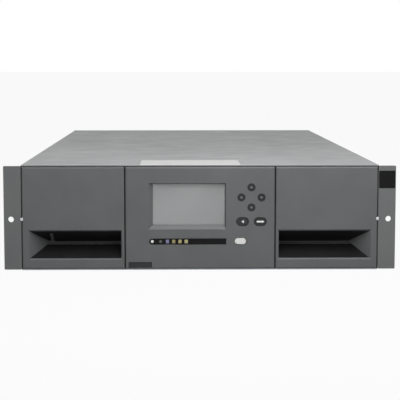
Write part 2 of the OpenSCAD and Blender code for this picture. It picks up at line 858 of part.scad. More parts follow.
module elevator_frame() color("#c3c5c7") placed() {
    y0 = front_shaft_y - 5;
    y1 = rear_shaft_y + 5;
    difference() {
        union() {
            for (s = [0, 1]) {
                mirror([s, 0, 0]) {
                    box(web_in - eps, y0, lift_z0, web_out, y1, tray_z - 0.5);
                    box(flange_in, y0, lift_z0, web_in, y1, flange_z);
                }
            }
            // Motor plate in front, and a tie plate behind
            box(-flange_in - 2, motor_plate_y, lift_z0, flange_in + 2, front_shaft_y + 8,
                flange_z);
            box(-flange_in - 2, rear_shaft_y - 8, lift_z0, flange_in + 2, rear_shaft_y + 8,
                flange_z);
            // Travel rack along the right-hand flange
            travel_rack();
        }
        for (y = [front_shaft_y, rear_shaft_y]) {
            rod_x(-body_w / 2, body_w / 2, y, shaft_z, shaft_d + 2 * bearing_clear);
        }
    }
}

module travel_rack() {
    p = PI * travel_mod;
    k0 = -6;
    k1 = ceil(travel / p) + 6;
    // Pitch line height, with the base of the rack sunk to the flange
    pitch_z = travel_z - travel_r;
    base = pitch_z - travel_mod * ded_f - flange_z + 0.5;
    translate([travel_pinion_x - 2.2, travel_y, pitch_z]) rotate([90, 0, 90]) linear_extrude(4.4)
        mirror([1, -1, 0]) polygon(rack_points(travel_mod, k0, k1, base));
}

// The lift motor stands across the front of the elevator and drives the front shaft by a belt
motor_side = 28;
motor_l = 38;
motor_x1 = flange_in - 19;
motor_plate_y = bezel_d + 24;
motor_y = motor_plate_y + motor_side / 2;
motor_z = flange_z + motor_side / 2;
belt_x = motor_x1 + 4;
belt_w = 5;

module lift_motor() color("#2b2c2e") placed() {
    box(motor_x1 - motor_l, motor_plate_y, flange_z, motor_x1, motor_plate_y + motor_side,
        flange_z + motor_side);
    rod_x(motor_x1 - eps, motor_x1 + 2, motor_y, motor_z, 18);
    rod_x(motor_x1 + 2 - eps, belt_x + belt_w + 1, motor_y, motor_z, 2 * pulley_r);
}

module sync_belt() color("#1c1c1d") placed() {
    r = pulley_r + bearing_clear;
    belt_loop(-web_in + 0.6, front_shaft_y, shaft_z, rear_shaft_y, shaft_z, r, 4);
    belt_loop(belt_x, motor_y, motor_z, front_shaft_y, shaft_z, r, belt_w);
}

module lift_shaft(y) placed() {
    // Shaft between the two racks, running in the elevator's side webs
    rod_x(-rack_x - rack_w + 0.2, rack_x + rack_w - 0.2, y, shaft_z, shaft_d);
    for (s = [0, 1]) {
        mirror([s, 0, 0]) translate([rack_x + 0.2, y, shaft_z]) rotate([90, 0, 90])
            linear_extrude(rack_w - 0.4) polygon(gear_points(lift_mod, lift_teeth, 180));
    }
    rod_x(-web_in + 0.6, -web_in + 4.6, y, shaft_z, 2 * pulley_r);
}

module front_lift_shaft() color("#b4b7ba") {
    lift_shaft(front_shaft_y);
    placed() rod_x(belt_x, belt_x + belt_w, front_shaft_y, shaft_z, 2 * pulley_r);
}

module rear_lift_shaft() color("#b4b7ba") lift_shaft(rear_shaft_y);

module carriage() color("#9fa2a5") placed() {
    x = flange_in - 1;
    half_l = 45;
    shoe_l = half_l / 2 - 0.5;
    difference() {
        union() {
            box(-x, col_y - half_l, plate_z, x, col_y + half_l, plate_z + plate_t);
            // Four shoes that slide on the elevator's flanges
            for (s = [-1, 1]) {
                for (y = [col_y - half_l, col_y + half_l - shoe_l]) {
                    box(s > 0 ? x - eps : -x - 6, y, plate_z, s > 0 ? x + 5 : -x + eps,
                        y + shoe_l, plate_z + 2.6);
                }
            }
            // Bearing pin of the turntable
            rod_z(0, col_y, plate_z, gear_z + 2.2, turn_pin_d);
        }
        travel_motor_body();
    }
}
turn_pin_d = 24;
pinion_pin_d = 3;
gear_t = 2.4;

module travel_motor_body() {
    box(flange_in - 27, travel_y - 6, plate_z - 1, flange_in - 3, travel_y + 6, plate_z + 9);
}

// Travel gear motor and the flat turning motor with its spindle
module carriage_motors() color("#b08d57") placed() {
    intersection() {
        travel_motor_body();
        box(0, 0, plate_z, body_w, body_d, case_h);
    }
    rod_x(flange_in - 3 - eps, travel_pinion_x + 2.2, travel_y, travel_z, pinion_pin_d);
    rod_z(-turn_r - turn_pinion_r, col_y, plate_z + plate_t, gear_z - 0.4, 18);
    rod_z(-turn_r - turn_pinion_r, col_y, gear_z - 0.5, gear_z + gear_t + 0.2, pinion_pin_d);
}

module travel_pinion() color("#e0ded6") placed() {
    translate([travel_pinion_x - 2, travel_y, travel_z]) rotate([90, 0, 90]) linear_extrude(4)
        difference() {
            polygon(gear_points(travel_mod, travel_teeth, -90));
            circle(d = pinion_pin_d + 2 * bearing_clear);
        }
}

module turn_pinion() color("#e0ded6") placed() {
    translate([-turn_r - turn_pinion_r, col_y, gear_z]) linear_extrude(gear_t) difference() {
        polygon(gear_points(turn_mod, turn_pinion_teeth, 180));
        circle(d = pinion_pin_d + 2 * bearing_clear);
    }
}

module turntable() color("#e0ded6") placed() translate([0, col_y, 0]) {
    difference() {
        union() {
            translate([0, 0, gear_z]) linear_extrude(gear_t)
                polygon(gear_points(turn_mod, turn_teeth, 180));
            rod_z(0, 0, plate_z + plate_t + 0.2, gear_z + eps, turn_pin_d + 10);
            rod_z(0, 0, gear_z + gear_t - eps, tray_z, 2 * turn_r - 10);
        }
        rod_z(0, 0, 0, gear_z + gear_t, turn_pin_d + 2 * bearing_clear);
    }
}

tray_v = cart_w / 2 + 6.3;
tray_u = sqrt(tray_r * tray_r - tray_v * tray_v) - 0.18;
tray_wall = 1.5;
tray_h = cart_h + 1;

module gripper_tray() color("#3b3d40") placed() translate([0, col_y, 0]) {
    difference() {
        box(-tray_v, -tray_u, tray_z, tray_v, tray_u, cart_z + tray_h);
        box(-tray_v + tray_wall, -tray_u + tray_wall, cart_z, tray_v - tray_wall, tray_u + 1,
            case_h);
    }
}

module barcode_reader() color("#17181a") placed() translate([0, col_y, 0]) {
    difference() {
        box(tray_v, 20, cart_z + 1, tray_v + 14, 44, cart_z + 19);
        box(tray_v + 2, 42, cart_z + 5, tray_v + 12, 45, cart_z + 15);
    }
}

// Gripper at its rest, drawn back into the tray. u counts along the tray from its axis.
grip_u = -tray_u + 42;
finger_close = 1.9;
finger_v = cart_w / 2 + 0.3 + finger_close;
finger_tip = 8;
// Half widths of the gripper's beam and feet, and the inner end of a finger's stem
beam_v = finger_v - 2.9;
foot_v = finger_v - 1.1;
stem_v = finger_v - 6.4;
pocket_v = stem_v - finger_close - 2.6;

module gripper() color("#c8cacc") placed() translate([0, col_y, 0]) {
    z0 = cart_z + slide_clear;
    difference() {
        union() {
            box(-beam_v, grip_u - 25, z0 + 1.4 - eps, beam_v, grip_u - 7, cart_z + cart_h - 2.5);
            for (s = [-1, 1]) {
                box(s > 0 ? beam_v - 10 : -foot_v, grip_u - 39, z0, s > 0 ? foot_v : 10 - beam_v,
                    grip_u - 5, z0 + 1.4);
            }
        }
        // Pockets for the finger stems, and a hollow for the drive band
        for (s = [-1, 1]) {
            box(s > 0 ? pocket_v : -beam_v - 1, grip_u - 19.3, cart_z + 6.7,
                s > 0 ? beam_v + 1 : -pocket_v, grip_u - 11.7, cart_z + 14.3);
        }
        box(14 - pocket_v, grip_u - 26, cart_z + 6, pocket_v - 14, grip_u - 12, cart_z + cart_h);
    }
}

module finger() placed() translate([0, col_y, 0]) {
    z0 = cart_z + 2;
    z1 = cart_z + cart_h - 2;
    box(finger_v, grip_u - 23, z0, finger_v + finger_t, grip_u + finger_tip, z1);
    box(stem_v, grip_u - 19, cart_z + 7, finger_v + eps, grip_u - 12, cart_z + 14);
}

module left_finger() color("#8d9093") left_side() finger();
module right_finger() color("#8d9093") finger();

// ---------------------------------------------------------------- drives

cage_x = drive_w / 2 + 5;
drive_z0 = sheet + sled_gap;
drive_pitch = (cover_z - drive_z0 - 0.4) / drives;
drive_top = drive_z0 + drives * drive_pitch - 0.4;
sled_floor = 0.8;
drive_h = drive_pitch - sled_floor - sled_gap;
function sled_z(k) = drive_z0 + k * drive_pitch;

module drive_cage() color("#8a8d90") placed() {
    y0 = drive_y - 2;
    y1 = body_d - 3;
    for (s = [0, 1]) {
        mirror([s, 0, 0]) {
            box(cage_x, y0, sheet, cage_x + sheet, y1, cover_z);
            for (k = [0:drives - 1]) {
                z = sled_z(k) - 0.1;
                box(cage_x - 3, y0 + 10, max(sheet, z - 1), cage_x + eps, y1, z);
            }
        }
    }
}

module drive_sled(k) color("#9b9ea1") placed() {
    z = sled_z(k);
    x = cage_x - 0.4;
    y0 = drive_y + 4;
    back_y = body_d - 2;
    box(-x, y0, z, x, back_y + eps, z + sled_floor);
    for (s = [0, 1]) {
        mirror([s, 0, 0]) box(drive_w / 2, y0, z + sled_floor - eps, drive_w / 2 + 1,
            back_y + eps, z + 26);
    }
    // Back plate with its connector openings, and the pull handle
    difference() {
        box(-x, back_y, z, x, body_d, z + drive_pitch - sled_gap);
        for (i = [0, 1]) {
            box(-60 + i * 30, back_y - 1, z + 14, -38 + i * 30, body_d + 1, z + 26);
        }
        for (i = [0:7]) {
            box(20 + i * 5, back_y - 1, z + 10, 22.5 + i * 5, body_d + 1, z + 32);
        }
    }
    // Interface card behind the drive
    box(-66, drive_y + drive_l + 3, z + 6, 66, back_y + eps, z + 7.6);
    box(-66, drive_y + drive_l + 3, z + sled_floor - eps, -62, drive_y + drive_l + 12, z + 6 + eps);
    box(62, drive_y + drive_l + 3, z + sled_floor - eps, 66, drive_y + drive_l + 12, z + 6 + eps);
    pull_handle(0, z + drive_pitch - 8, 56);
}

// A bail handle on a back plate
module pull_handle(x, z, w) {
    box(x - w / 2, body_d - eps, z - 2, x - w / 2 + 4, body_d + handle_out, z + 2);
    box(x + w / 2 - 4, body_d - eps, z - 2, x + w / 2, body_d + handle_out, z + 2);
    box(x - w / 2, body_d + handle_out - 4, z - 2, x + w / 2, body_d + handle_out, z + 2);
}

mouth_z = 13.2;

module tape_drive(k) color("#343639") placed() {
    z = sled_z(k) + sled_floor;
    difference() {
        box(-drive_w / 2, drive_y, z, drive_w / 2, drive_y + drive_l, z + drive_h);
        // Mouth that takes a cartridge
        box(-cart_w / 2 - 1, drive_y - 1, z + mouth_z - sled_floor, cart_w / 2 + 1,
            drive_y + cart_l + 2, z + mouth_z - sled_floor + cart_h + 1.4);
        // Eject button pocket
        box(drive_w / 2 - 14, drive_y - 1, z + 5, drive_w / 2 - 5, drive_y + 1, z + 9);
    }
}

module drive_sled_1() { drive_sled(0); }
module drive_sled_2() { drive_sled(1); }
module drive_sled_3() { drive_sled(2); }
module tape_drive_1() { tape_drive(0); }
module tape_drive_2() { tape_drive(1); }
module tape_drive_3() { tape_drive(2); }

// ---------------------------------------------------------------- power and control

psu_x0 = -wall_in + 10;
ctrl_x0 = cage_x + sheet + 10;
ctrl_w = wall_in - ctrl_margin - ctrl_x0;
shelf_z0 = sheet + 3;
function psu_z(k) = shelf_z0 + k * (psu_h + 3);
ctrl_z = shelf_z0;
vent_z0 = max(psu_z(1) + psu_h, ctrl_z + ctrl_h) + 8;
vent_z1 = cover_z - 8;
module_y0 = body_d - psu_l;
fan_r = 17;

module module_cages() color("#8a8d90") placed() {
    y1 = body_d - sheet - 0.3;
    // Left: uprights and shelves of the two power supplies
    tray_sides(psu_x0 - 0.5, psu_x0 + psu_w + 0.5, module_y0, y1, psu_z(1) + psu_h + 2);
    for (k = [0, 1]) {
        box(psu_x0 - 0.5 - sheet, module_y0, psu_z(k) - 0.3 - sheet, psu_x0 + psu_w + 0.5 + sheet,
            y1, psu_z(k) - 0.3);
    }
    // Right: uprights and shelf of the controller
    tray_sides(ctrl_x0 - 0.5, ctrl_x0 + ctrl_w + 0.5, module_y0, y1, ctrl_z + ctrl_h + 2);
    box(ctrl_x0 - 0.5 - sheet, module_y0, ctrl_z - 0.3 - sheet, ctrl_x0 + ctrl_w + 0.5 + sheet, y1,
        ctrl_z - 0.3);
}

module tray_sides(x0, x1, y0, y1, top) {
    box(x0 - sheet, y0, sheet, x0, y1, top);
    box(x1, y0, sheet, x1 + sheet, y1, top);
}

module backplane_boards() color("#2d5b3c") placed() {
    for (s = [0, 1]) {
        x0 = s ? ctrl_x0 - 0.5 - sheet : psu_x0 - 0.5 - sheet;
        x1 = s ? ctrl_x0 + ctrl_w + 0.5 + sheet : psu_x0 + psu_w + 0.5 + sheet;
        pitch = (x1 - x0) / 4;
        box(x0, module_y0 - 1.6, sheet, x1, module_y0, ctrl_z + ctrl_h + 3.8);
        for (i = [0:3]) {
            x = x0 + (i + 0.5) * pitch;
            box(x - 7, module_y0 - 10, 20, x + 7, module_y0 - 1.6 + eps, 30);
        }
    }
}

fan_x = psu_x0 + psu_w - 26;
fan_y = body_d - 15;
spindle_d = 3;

module psu(k) color("#a5a8aa") placed() {
    z = psu_z(k);
    zc = z + psu_h / 2;
    difference() {
        box(psu_x0, module_y0 + 4, z, psu_x0 + psu_w, body_d, z + psu_h);
        // Fan well behind the guard
        rod_y(fan_x, body_d - 26, body_d - 2, zc, 2 * fan_r + 2);
        // Guard openings
        difference() {
            rod_y(fan_x, body_d - 3, body_d + 1, zc, 2 * fan_r);
            rod_y(fan_x, body_d - 3, body_d + 1, zc, 14);
            for (a = [0, 60, 120]) {
                translate([fan_x, body_d, zc]) rotate([0, a, 0]) cube([2 * fan_r, 8, 1.6],
                    center = true);
            }
        }
        // Mains inlet
        box(psu_x0 + 8, body_d - 18, zc - 12, psu_x0 + 36, body_d + 1, zc + 8);
    }
    // Fan motor's seat and spindle
    rod_y(fan_x, fan_y + 8.3, body_d - 2 + eps, zc, 12);
    rod_y(fan_x, fan_y - 6, fan_y + 8.3 + eps, zc, spindle_d);
    // Inlet blades
    for (x = [psu_x0 + 14, psu_x0 + 21, psu_x0 + 28]) {
        box(x, body_d - 18 - eps, zc - 4, x + 2, body_d - 4, zc);
    }
    pull_handle(psu_x0 + 48, zc, 16);
}

module psu_fan(k) color("#1f2022") placed() {
    zc = psu_z(k) + psu_h / 2;
    difference() {
        translate([fan_x, fan_y, zc]) {
            rotate([90, 0, 0]) cylinder(h = 16, d = 14, center = true);
            for (i = [0:6]) {
                rotate([0, i * 360 / 7, 0]) translate([11, 0, 0]) rotate([40, 0, 0])
                    cube([10.5, 1.2, 11], center = true);
            }
        }
        rod_y(fan_x, fan_y - 6.5, fan_y + 9, zc, spindle_d + 2 * bearing_clear);
    }
}

module psu_1() { psu(0); }
module psu_2() { psu(1); }
module psu_fan_1() { psu_fan(0); }
module psu_fan_2() { psu_fan(1); }

module controller_sled() color("#9b9ea1") placed() {
    y0 = module_y0 + 12;
    back_y = body_d - 2;
    box(ctrl_x0, y0, ctrl_z, ctrl_x0 + ctrl_w, back_y + eps, ctrl_z + 1.2);
    // Circuit board on pillars
    box(ctrl_x0 + 4, y0 + 4, ctrl_z + 7, ctrl_x0 + ctrl_w - 4, back_y - 1, ctrl_z + 8.6);
    for (x = [ctrl_x0 + 10, ctrl_x0 + ctrl_w - 10]) {
        for (y = [y0 + 12, back_y - 12]) {
            rod_z(x, y, ctrl_z + 1.2 - eps, ctrl_z + 7 + eps, 6);
        }
    }
    difference() {
        box(ctrl_x0, back_y, ctrl_z, ctrl_x0 + ctrl_w, body_d, ctrl_z + ctrl_h);
        for (i = [0, 1]) {
            box(ctrl_x0 + 12 + i * 20, back_y - 1, ctrl_z + 10, ctrl_x0 + 27 + i * 20, body_d + 1,
                ctrl_z + 22);
            box(ctrl_x0 + 60 + i * 18, back_y - 1, ctrl_z + 10, ctrl_x0 + 73 + i * 18,
                body_d + 1, ctrl_z + 16);
        }
        for (i = [0:7]) {
            box(ctrl_x0 + 14 + i * 11, back_y - 1, ctrl_z + 32, ctrl_x0 + 19 + i * 11,
                body_d + 1, ctrl_z + 52);
        }
    }
    pull_handle(ctrl_x0 + ctrl_w / 2, ctrl_z + 27, 40);
}

chassis_base();
top_cover();
label_strip();
rear_panel();
rack_ears();
case_screws();
front_frame();
panel_bezel();
display_window();
display_module();
indicator_strip();
indicator_lenses();
keypad_board();
magazine_guides();
lift_racks();
drive_cage();
module_cages();
backplane_boards();
left_bezel();
left_magazine();
left_cartridges();
right_bezel();
right_magazine();
right_cartridges();
elevator_frame();
lift_motor();
sync_belt();
front_lift_shaft();
rear_lift_shaft();
carriage();
carriage_motors();
travel_pinion();
turn_pinion();
turntable();
gripper_tray();
barcode_reader();
gripper();
left_finger();
right_finger();
drive_sled_1();
tape_drive_1();
drive_sled_2();
tape_drive_2();
drive_sled_3();
tape_drive_3();
psu_1();
psu_fan_1();
psu_2();
psu_fan_2();
controller_sled();
up_key();
down_key();
left_key();
right_key();
back_key();
enter_key();
power_key();
info_tab();
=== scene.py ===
import math

import bpy
import numpy as np
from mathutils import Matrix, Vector


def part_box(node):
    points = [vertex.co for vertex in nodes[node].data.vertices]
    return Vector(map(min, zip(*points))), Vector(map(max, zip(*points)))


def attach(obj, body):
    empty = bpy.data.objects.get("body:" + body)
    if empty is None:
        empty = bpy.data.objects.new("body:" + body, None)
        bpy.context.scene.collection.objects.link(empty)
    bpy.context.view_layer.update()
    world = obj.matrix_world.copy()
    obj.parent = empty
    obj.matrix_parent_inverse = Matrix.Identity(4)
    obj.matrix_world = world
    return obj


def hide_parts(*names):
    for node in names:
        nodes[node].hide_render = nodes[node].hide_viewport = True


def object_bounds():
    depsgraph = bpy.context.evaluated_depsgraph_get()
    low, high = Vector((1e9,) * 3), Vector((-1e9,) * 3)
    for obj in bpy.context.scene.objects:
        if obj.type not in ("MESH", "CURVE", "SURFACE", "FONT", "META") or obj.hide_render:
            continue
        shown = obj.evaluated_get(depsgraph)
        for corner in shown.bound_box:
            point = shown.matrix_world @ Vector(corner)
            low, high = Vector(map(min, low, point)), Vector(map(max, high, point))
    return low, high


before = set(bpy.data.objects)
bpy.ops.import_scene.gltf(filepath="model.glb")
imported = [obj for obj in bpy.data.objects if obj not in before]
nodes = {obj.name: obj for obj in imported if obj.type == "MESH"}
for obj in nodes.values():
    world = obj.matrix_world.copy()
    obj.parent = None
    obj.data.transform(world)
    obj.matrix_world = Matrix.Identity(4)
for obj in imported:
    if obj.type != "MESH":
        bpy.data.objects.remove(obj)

MM = 0.001
cad_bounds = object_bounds()


def corners(name):
    """Lowest and highest corner of a CAD node, as two arrays."""
    low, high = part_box(name)
    return np.array(low), np.array(high)


# ---------------------------------------------------------------- colours and materials

def linear(code):
    """Turns an sRGB hex colour into linear RGBA: c / 12.92 below 0.04045, a 2.4 power above."""
    c = np.array([int(code[i:i + 2], 16) for i in (1, 3, 5)]) / 255
    c = np.where(c <= 0.04045, c / 12.92, ((c + 0.055) / 1.055) ** 2.4)
    return (float(c[0]), float(c[1]), float(c[2]), 1.0)


def add(tree, kind, inputs=None, **settings):
    """Adds one shader node: settings are its own fields, inputs are its sockets' values or links."""
    made = tree.nodes.new(kind)
    for field, value in settings.items():
        setattr(made, field, value)
    for socket, value in (inputs or {}).items():
        if isinstance(value, bpy.types.NodeSocket):
            tree.links.new(value, made.inputs[socket])
        else:
            made.inputs[socket].default_value = value
    return made


def new_material(name):
    """An empty node material with its output, its main shader and Object coordinates."""
    material = bpy.data.materials.new(name)
    material.use_nodes = True
    tree = material.node_tree
    tree.nodes.clear()
    shader = add(tree, "ShaderNodeBsdfPrincipled")
    add(tree, "ShaderNodeOutputMaterial", {"Surface": shader.outputs["BSDF"]})
    place = add(tree, "ShaderNodeTexCoord").outputs["Object"]
    return material, tree, shader, place


def noise(tree, place, size_mm, detail=3.0):
    """Cloudy noise whose blotches are about size_mm across."""
    return add(tree, "ShaderNodeTexNoise", {"Vector": place, "Scale": 1 / (size_mm * MM), "Detail": detail,
                                            "Roughness": 0.55}).outputs["Fac"]


def spread(tree, value, low, high):
    """Stretches a 0..1 pattern to the range low..high."""
    return add(tree, "ShaderNodeMapRange", {"Value": value, "From Min": 0.25, "From Max": 0.75,
                                            "To Min": low, "To Max": high}).outputs["Result"]


def tint(tree, value, first, second):
    """Colour that goes from the first hex to the second as the pattern goes from 0 to 1."""
    ramp = add(tree, "ShaderNodeValToRGB", {"Fac": value})
    ramp.color_ramp.elements[0].position = 0.3
    ramp.color_ramp.elements[1].position = 0.7
    ramp.color_ramp.elements[0].color = linear(first)
    ramp.color_ramp.elements[1].color = linear(second)
    return ramp.outputs["Color"]


def relief(tree, shader, height, depth_mm, strength=0.5):
    """Bump of a given depth from a 0..1 height pattern."""
    bump = add(tree, "ShaderNodeBump", {"Height": height, "Distance": depth_mm * MM, "Strength": strength})
    tree.links.new(bump.outputs["Normal"], shader.inputs["Normal"])


def moulded(name, first, second, grain_mm, rough, depth_mm=0.05, blotch_mm=45, shine=0.35):
    """Injection-moulded plastic: even colour with slow blotches, and a spark-eroded grain."""
    material, tree, shader, place = new_material(name)
    shader.inputs["Specular IOR Level"].default_value = shine
    clouds = noise(tree, place, blotch_mm)
    tree.links.new(tint(tree, clouds, first, second), shader.inputs["Base Color"])
    shader.inputs["IOR"].default_value = 1.53
    grain = noise(tree, place, grain_mm, 2.0)
    tree.links.new(spread(tree, grain, rough - 0.06, rough + 0.06), shader.inputs["Roughness"])
    relief(tree, shader, grain, depth_mm)
    return material


def painted(name, first, second, peel_mm, rough, depth_mm=0.04):
    """Powder coat on steel: an orange-peel skin, with faint handling marks in the gloss."""
    material, tree, shader, place = new_material(name)
    shader.inputs["Specular IOR Level"].default_value = 0.3
    clouds = noise(tree, place, 120)
    tree.links.new(tint(tree, clouds, first, second), shader.inputs["Base Color"])
    shader.inputs["IOR"].default_value = 1.5
    rubs = noise(tree, place, 35, 6.0)
    tree.links.new(spread(tree, rubs, rough - 0.07, rough + 0.07), shader.inputs["Roughness"])
    relief(tree, shader, noise(tree, place, peel_mm, 1.0), depth_mm)
    return material


def galvanised(name, first, second, rough):
    """Zinc-coated sheet: crystals of the coating, each with its own shade and gloss."""
    material, tree, shader, place = new_material(name)
    cells = add(tree, "ShaderNodeTexVoronoi", {"Vector": place, "Scale": 1 / (6 * MM), "Randomness": 1.0})
    shade = add(tree, "ShaderNodeSeparateColor", {"Color": cells.outputs["Color"]}).outputs["Red"]
    tree.links.new(tint(tree, shade, first, second), shader.inputs["Base Color"])
    shader.inputs["Metallic"].default_value = 1.0
    tree.links.new(spread(tree, shade, rough - 0.05, rough + 0.05), shader.inputs["Roughness"])
    relief(tree, shader, noise(tree, place, 1.5, 2.0), 0.02, 0.3)
    return material


def brushed(name, first, second, rough, along=(0, 1, 0), metallic=1.0):
    """Metal with a direction: fine scratches 40 times as long as they are wide."""
    material, tree, shader, place = new_material(name)
    stretch = tuple(1.0 if a else 40.0 for a in along)
    lines = add(tree, "ShaderNodeMapping", {"Vector": place, "Scale": stretch}).outputs["Vector"]
    scratches = add(tree, "ShaderNodeTexNoise", {"Vector": lines, "Scale": 1 / (40 * MM), "Detail": 4.0})
    value = scratches.outputs["Fac"]
    tree.links.new(tint(tree, value, first, second), shader.inputs["Base Color"])
    shader.inputs["Metallic"].default_value = metallic
    tree.links.new(spread(tree, value, rough - 0.08, rough + 0.08), shader.inputs["Roughness"])
    relief(tree, shader, value, 0.02, 0.25)
    return material


def solder_mask(name):
    """Green circuit board: solder mask over copper tracks that show as slightly raised, paler lines."""
    material, tree, shader, place = new_material(name)
    tracks = add(tree, "ShaderNodeTexBrick", {"Vector": place, "Scale": 1 / (4 * MM), "Mortar Size": 0.12,
                                              "Color1": linear("#1d4a2b"), "Color2": linear("#20512f"),
                                              "Mortar": linear("#3b7a4c")})
    tree.links.new(tracks.outputs["Color"], shader.inputs["Base Color"])
    shader.inputs["Roughness"].default_value = 0.32
    shader.inputs["IOR"].default_value = 1.55
    relief(tree, shader, tracks.outputs["Fac"], 0.03, 0.4)
    return material


def clear_window(name):
    """Acrylic window: clear and smooth, with a faint haze of wiping marks."""
    material, tree, shader, place = new_material(name)
    shader.inputs["Base Color"].default_value = linear("#f4f6f6")
    shader.inputs["Transmission Weight"].default_value = 1.0
    shader.inputs["IOR"].default_value = 1.49
    tree.links.new(spread(tree, noise(tree, place, 14), 0.04, 0.12), shader.inputs["Roughness"])
    return material


def liquid_crystal(name):
    """Unlit liquid crystal panel: a grey film over fine rows of cells, drawn 1.2 mm apart."""
    material, tree, shader, place = new_material(name)
    rows = add(tree, "ShaderNodeTexWave", {"Vector": place, "Scale": 0.314 / (1.2 * MM)},
               wave_type="BANDS", bands_direction="Z").outputs["Fac"]
    clouds = noise(tree, place, 60, 1.0)
    both = add(tree, "ShaderNodeMath", {0: rows, 1: 0.12}, operation="MULTIPLY").outputs[0]
    both = add(tree, "ShaderNodeMath", {0: clouds, 1: both}, operation="ADD").outputs[0]
    tree.links.new(tint(tree, both, "#989898", "#a2a2a2"), shader.inputs["Base Color"])
    shader.inputs["Roughness"].default_value = 0.35
    shader.inputs["IOR"].default_value = 1.5
    relief(tree, shader, rows, 0.01, 0.1)
    return material


def lens(name, code, painted_glow):
    """Tinted light pipe, polished, with a painted glow: its colour goes in small blotches from the tint to a
    lighter shade that stands in for the lamp behind it lighting it from inside.
    """
    material, tree, shader, place = new_material(name)
    tree.links.new(tint(tree, noise(tree, place, 3), code, painted_glow), shader.inputs["Base Color"])
    shader.inputs["Roughness"].default_value = 0.18
    shader.inputs["IOR"].default_value = 1.58
    shader.inputs["Coat Weight"].default_value = 0.6
    return material


PALETTE = {
    # Folded zinc-coated sheet: grey crystals with a soft metal gloss
    "galvanised_sheet": galvanised("galvanised_folded_steel", "#94989b", "#a0a4a7", 0.44),
    # Satin powder coat on the cover: pale grey, fine orange peel
    "cover_paint": painted("powder_coated_cover", "#818283", "#898a8b", 1.6, 0.46),
    # Ears in the bezel's grey, with a sandy powder coat
    "ear_paint": painted("powder_coated_ears", "#626364", "#686969", 0.9, 0.5, 0.06),
    # Bezels in textured ABS: a dry, even grey
    "bezel_plastic": moulded("textured_abs_bezel", "#58595a", "#5e5f60", 0.7, 0.48, 0.05, 45, 0.3),
    # Smooth black ABS of the indicator strip and badge plate
    "black_plastic": moulded("polished_black_abs", "#0c0c0d", "#101011", 1.5, 0.3, 0.01, 45, 0.12),
    "window_clear": clear_window("clear_acrylic_window"),
    "display_panel": liquid_crystal("unlit_liquid_crystal"),
    # Amber lens: the second, lighter shade is a painted glow from the lamp behind it
    "lens_plastic": lens("amber_light_pipe", "#8f8348", "#a3965a"),
    # Keys in darker ABS, finely matt
    "key_plastic": moulded("matt_abs_keys", "#2a2b2d", "#303133", 0.5, 0.55, 0.02, 45, 0.2),
    # Power key: white ABS, slightly shiny
    "power_plastic": moulded("white_abs_key", "#d2d2d0", "#dadad8", 0.8, 0.3, 0.01),
    # Blank label: satin polyester film
    "label_film": moulded("satin_polyester_label", "#acadab", "#b5b6b4", 2.0, 0.38, 0.01, 20),
    "circuit_board": solder_mask("green_solder_mask"),
    # Bright zinc plate on screws
    "screw_zinc": brushed("bright_zinc_plate", "#b4b6b9", "#cfd1d3", 0.3, (0, 0, 1)),
    # Magazines in mid-grey glass-filled nylon
    "magazine_plastic": moulded("glass_filled_nylon", "#7a7c7e", "#828486", 0.9, 0.5),
    # Cartridge shells in dark blue-grey polycarbonate, matt grained
    "cartridge_plastic": moulded("grained_polycarbonate", "#26303b", "#2c3743", 0.8, 0.45),
    # Gears and racks in off-white acetal: waxy and smooth
    "acetal": moulded("natural_acetal", "#d6d3ca", "#e0ded6", 2.5, 0.32, 0.01, 30, 0.4),
    # Ground steel shafts, fine scratches across them
    "shaft_steel": brushed("ground_shaft_steel", "#a6a9ac", "#c2c5c8", 0.26, (0, 1, 0)),
    # Milled and clear-anodised aluminium
    "robot_aluminium": brushed("anodised_aluminium", "#b4b7ba", "#c4c7ca", 0.38),
    "belt_rubber": moulded("belt_rubber", "#18181a", "#202022", 1.2, 0.62, 0.05, 20),
    "motor_black": painted("black_enamel", "#252628", "#2c2d2f", 0.8, 0.38),
    "motor_brass": brushed("passivated_motor_can", "#b4955c", "#c8ab74", 0.34),
    "tray_plastic": moulded("antistatic_black_nylon", "#2c2e31", "#333538", 0.9, 0.42),
    # Drive case in plated steel
    "drive_steel": brushed("plated_drive_case", "#9a9da0", "#aeb1b4", 0.4, (1, 0, 0)),
    "fan_plastic": moulded("glass_filled_black_polyester", "#17181a", "#1d1e20", 1.0, 0.4, 0.03),
}
WHITE_PRINT = moulded("white_pad_print", "#d8d8d6", "#e0e0de", 0.6, 0.4, 0.01, 12)
GREY_PRINT = moulded("grey_pad_print", "#6f7072", "#76777a", 0.6, 0.45, 0.01, 12)
CONTACT_GOLD = brushed("gold_flashed_contacts", "#c29a4a", "#d8b260", 0.3)
CHIP_EPOXY = moulded("black_moulding_epoxy", "#1b1c1e", "#222325", 0.5, 0.5, 0.02, 10)
# Black sheets over the slopes of the pull recesses, which make the recesses dark, with a coarse dry grain
DARK_RECESS_SHEET = moulded("grained_black_recess_sheet", "#131314", "#19191a", 0.9, 0.55, 0.04, 30, 0.12)
HEAT_SINK = brushed("black_anodised_fins", "#2a2c2f", "#34363a", 0.4)


def dress_nodes():
    """Gives each CAD node the material of the slot that the record names for it."""
    for cad in nodes.values():
        for slot in cad.material_slots:
            key = slot.material.name.split(".")[0] if slot.material else ""
            if key in PALETTE:
                slot.material = PALETTE[key]
            else:
                print("no finish for", cad.name, key)


dress_nodes()

# ---------------------------------------------------------------- surfaces


def piece(name, points, faces, body, slot, material, smooth_deg=30):
    """Puts arrays of points (metres) and faces into a mesh that rides on a body."""
    mesh = bpy.data.meshes.new(name)
    mesh.from_pydata(np.asarray(points, float).tolist(), [], faces)
    mesh.materials.append(material)
    mesh.update()
    made = bpy.data.objects.new(name, mesh)
    bpy.context.scene.collection.objects.link(made)
    if smooth_deg:
        mesh.shade_smooth()
        mesh.set_sharp_from_angle(angle=math.radians(smooth_deg))
    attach(made, body)
    return made


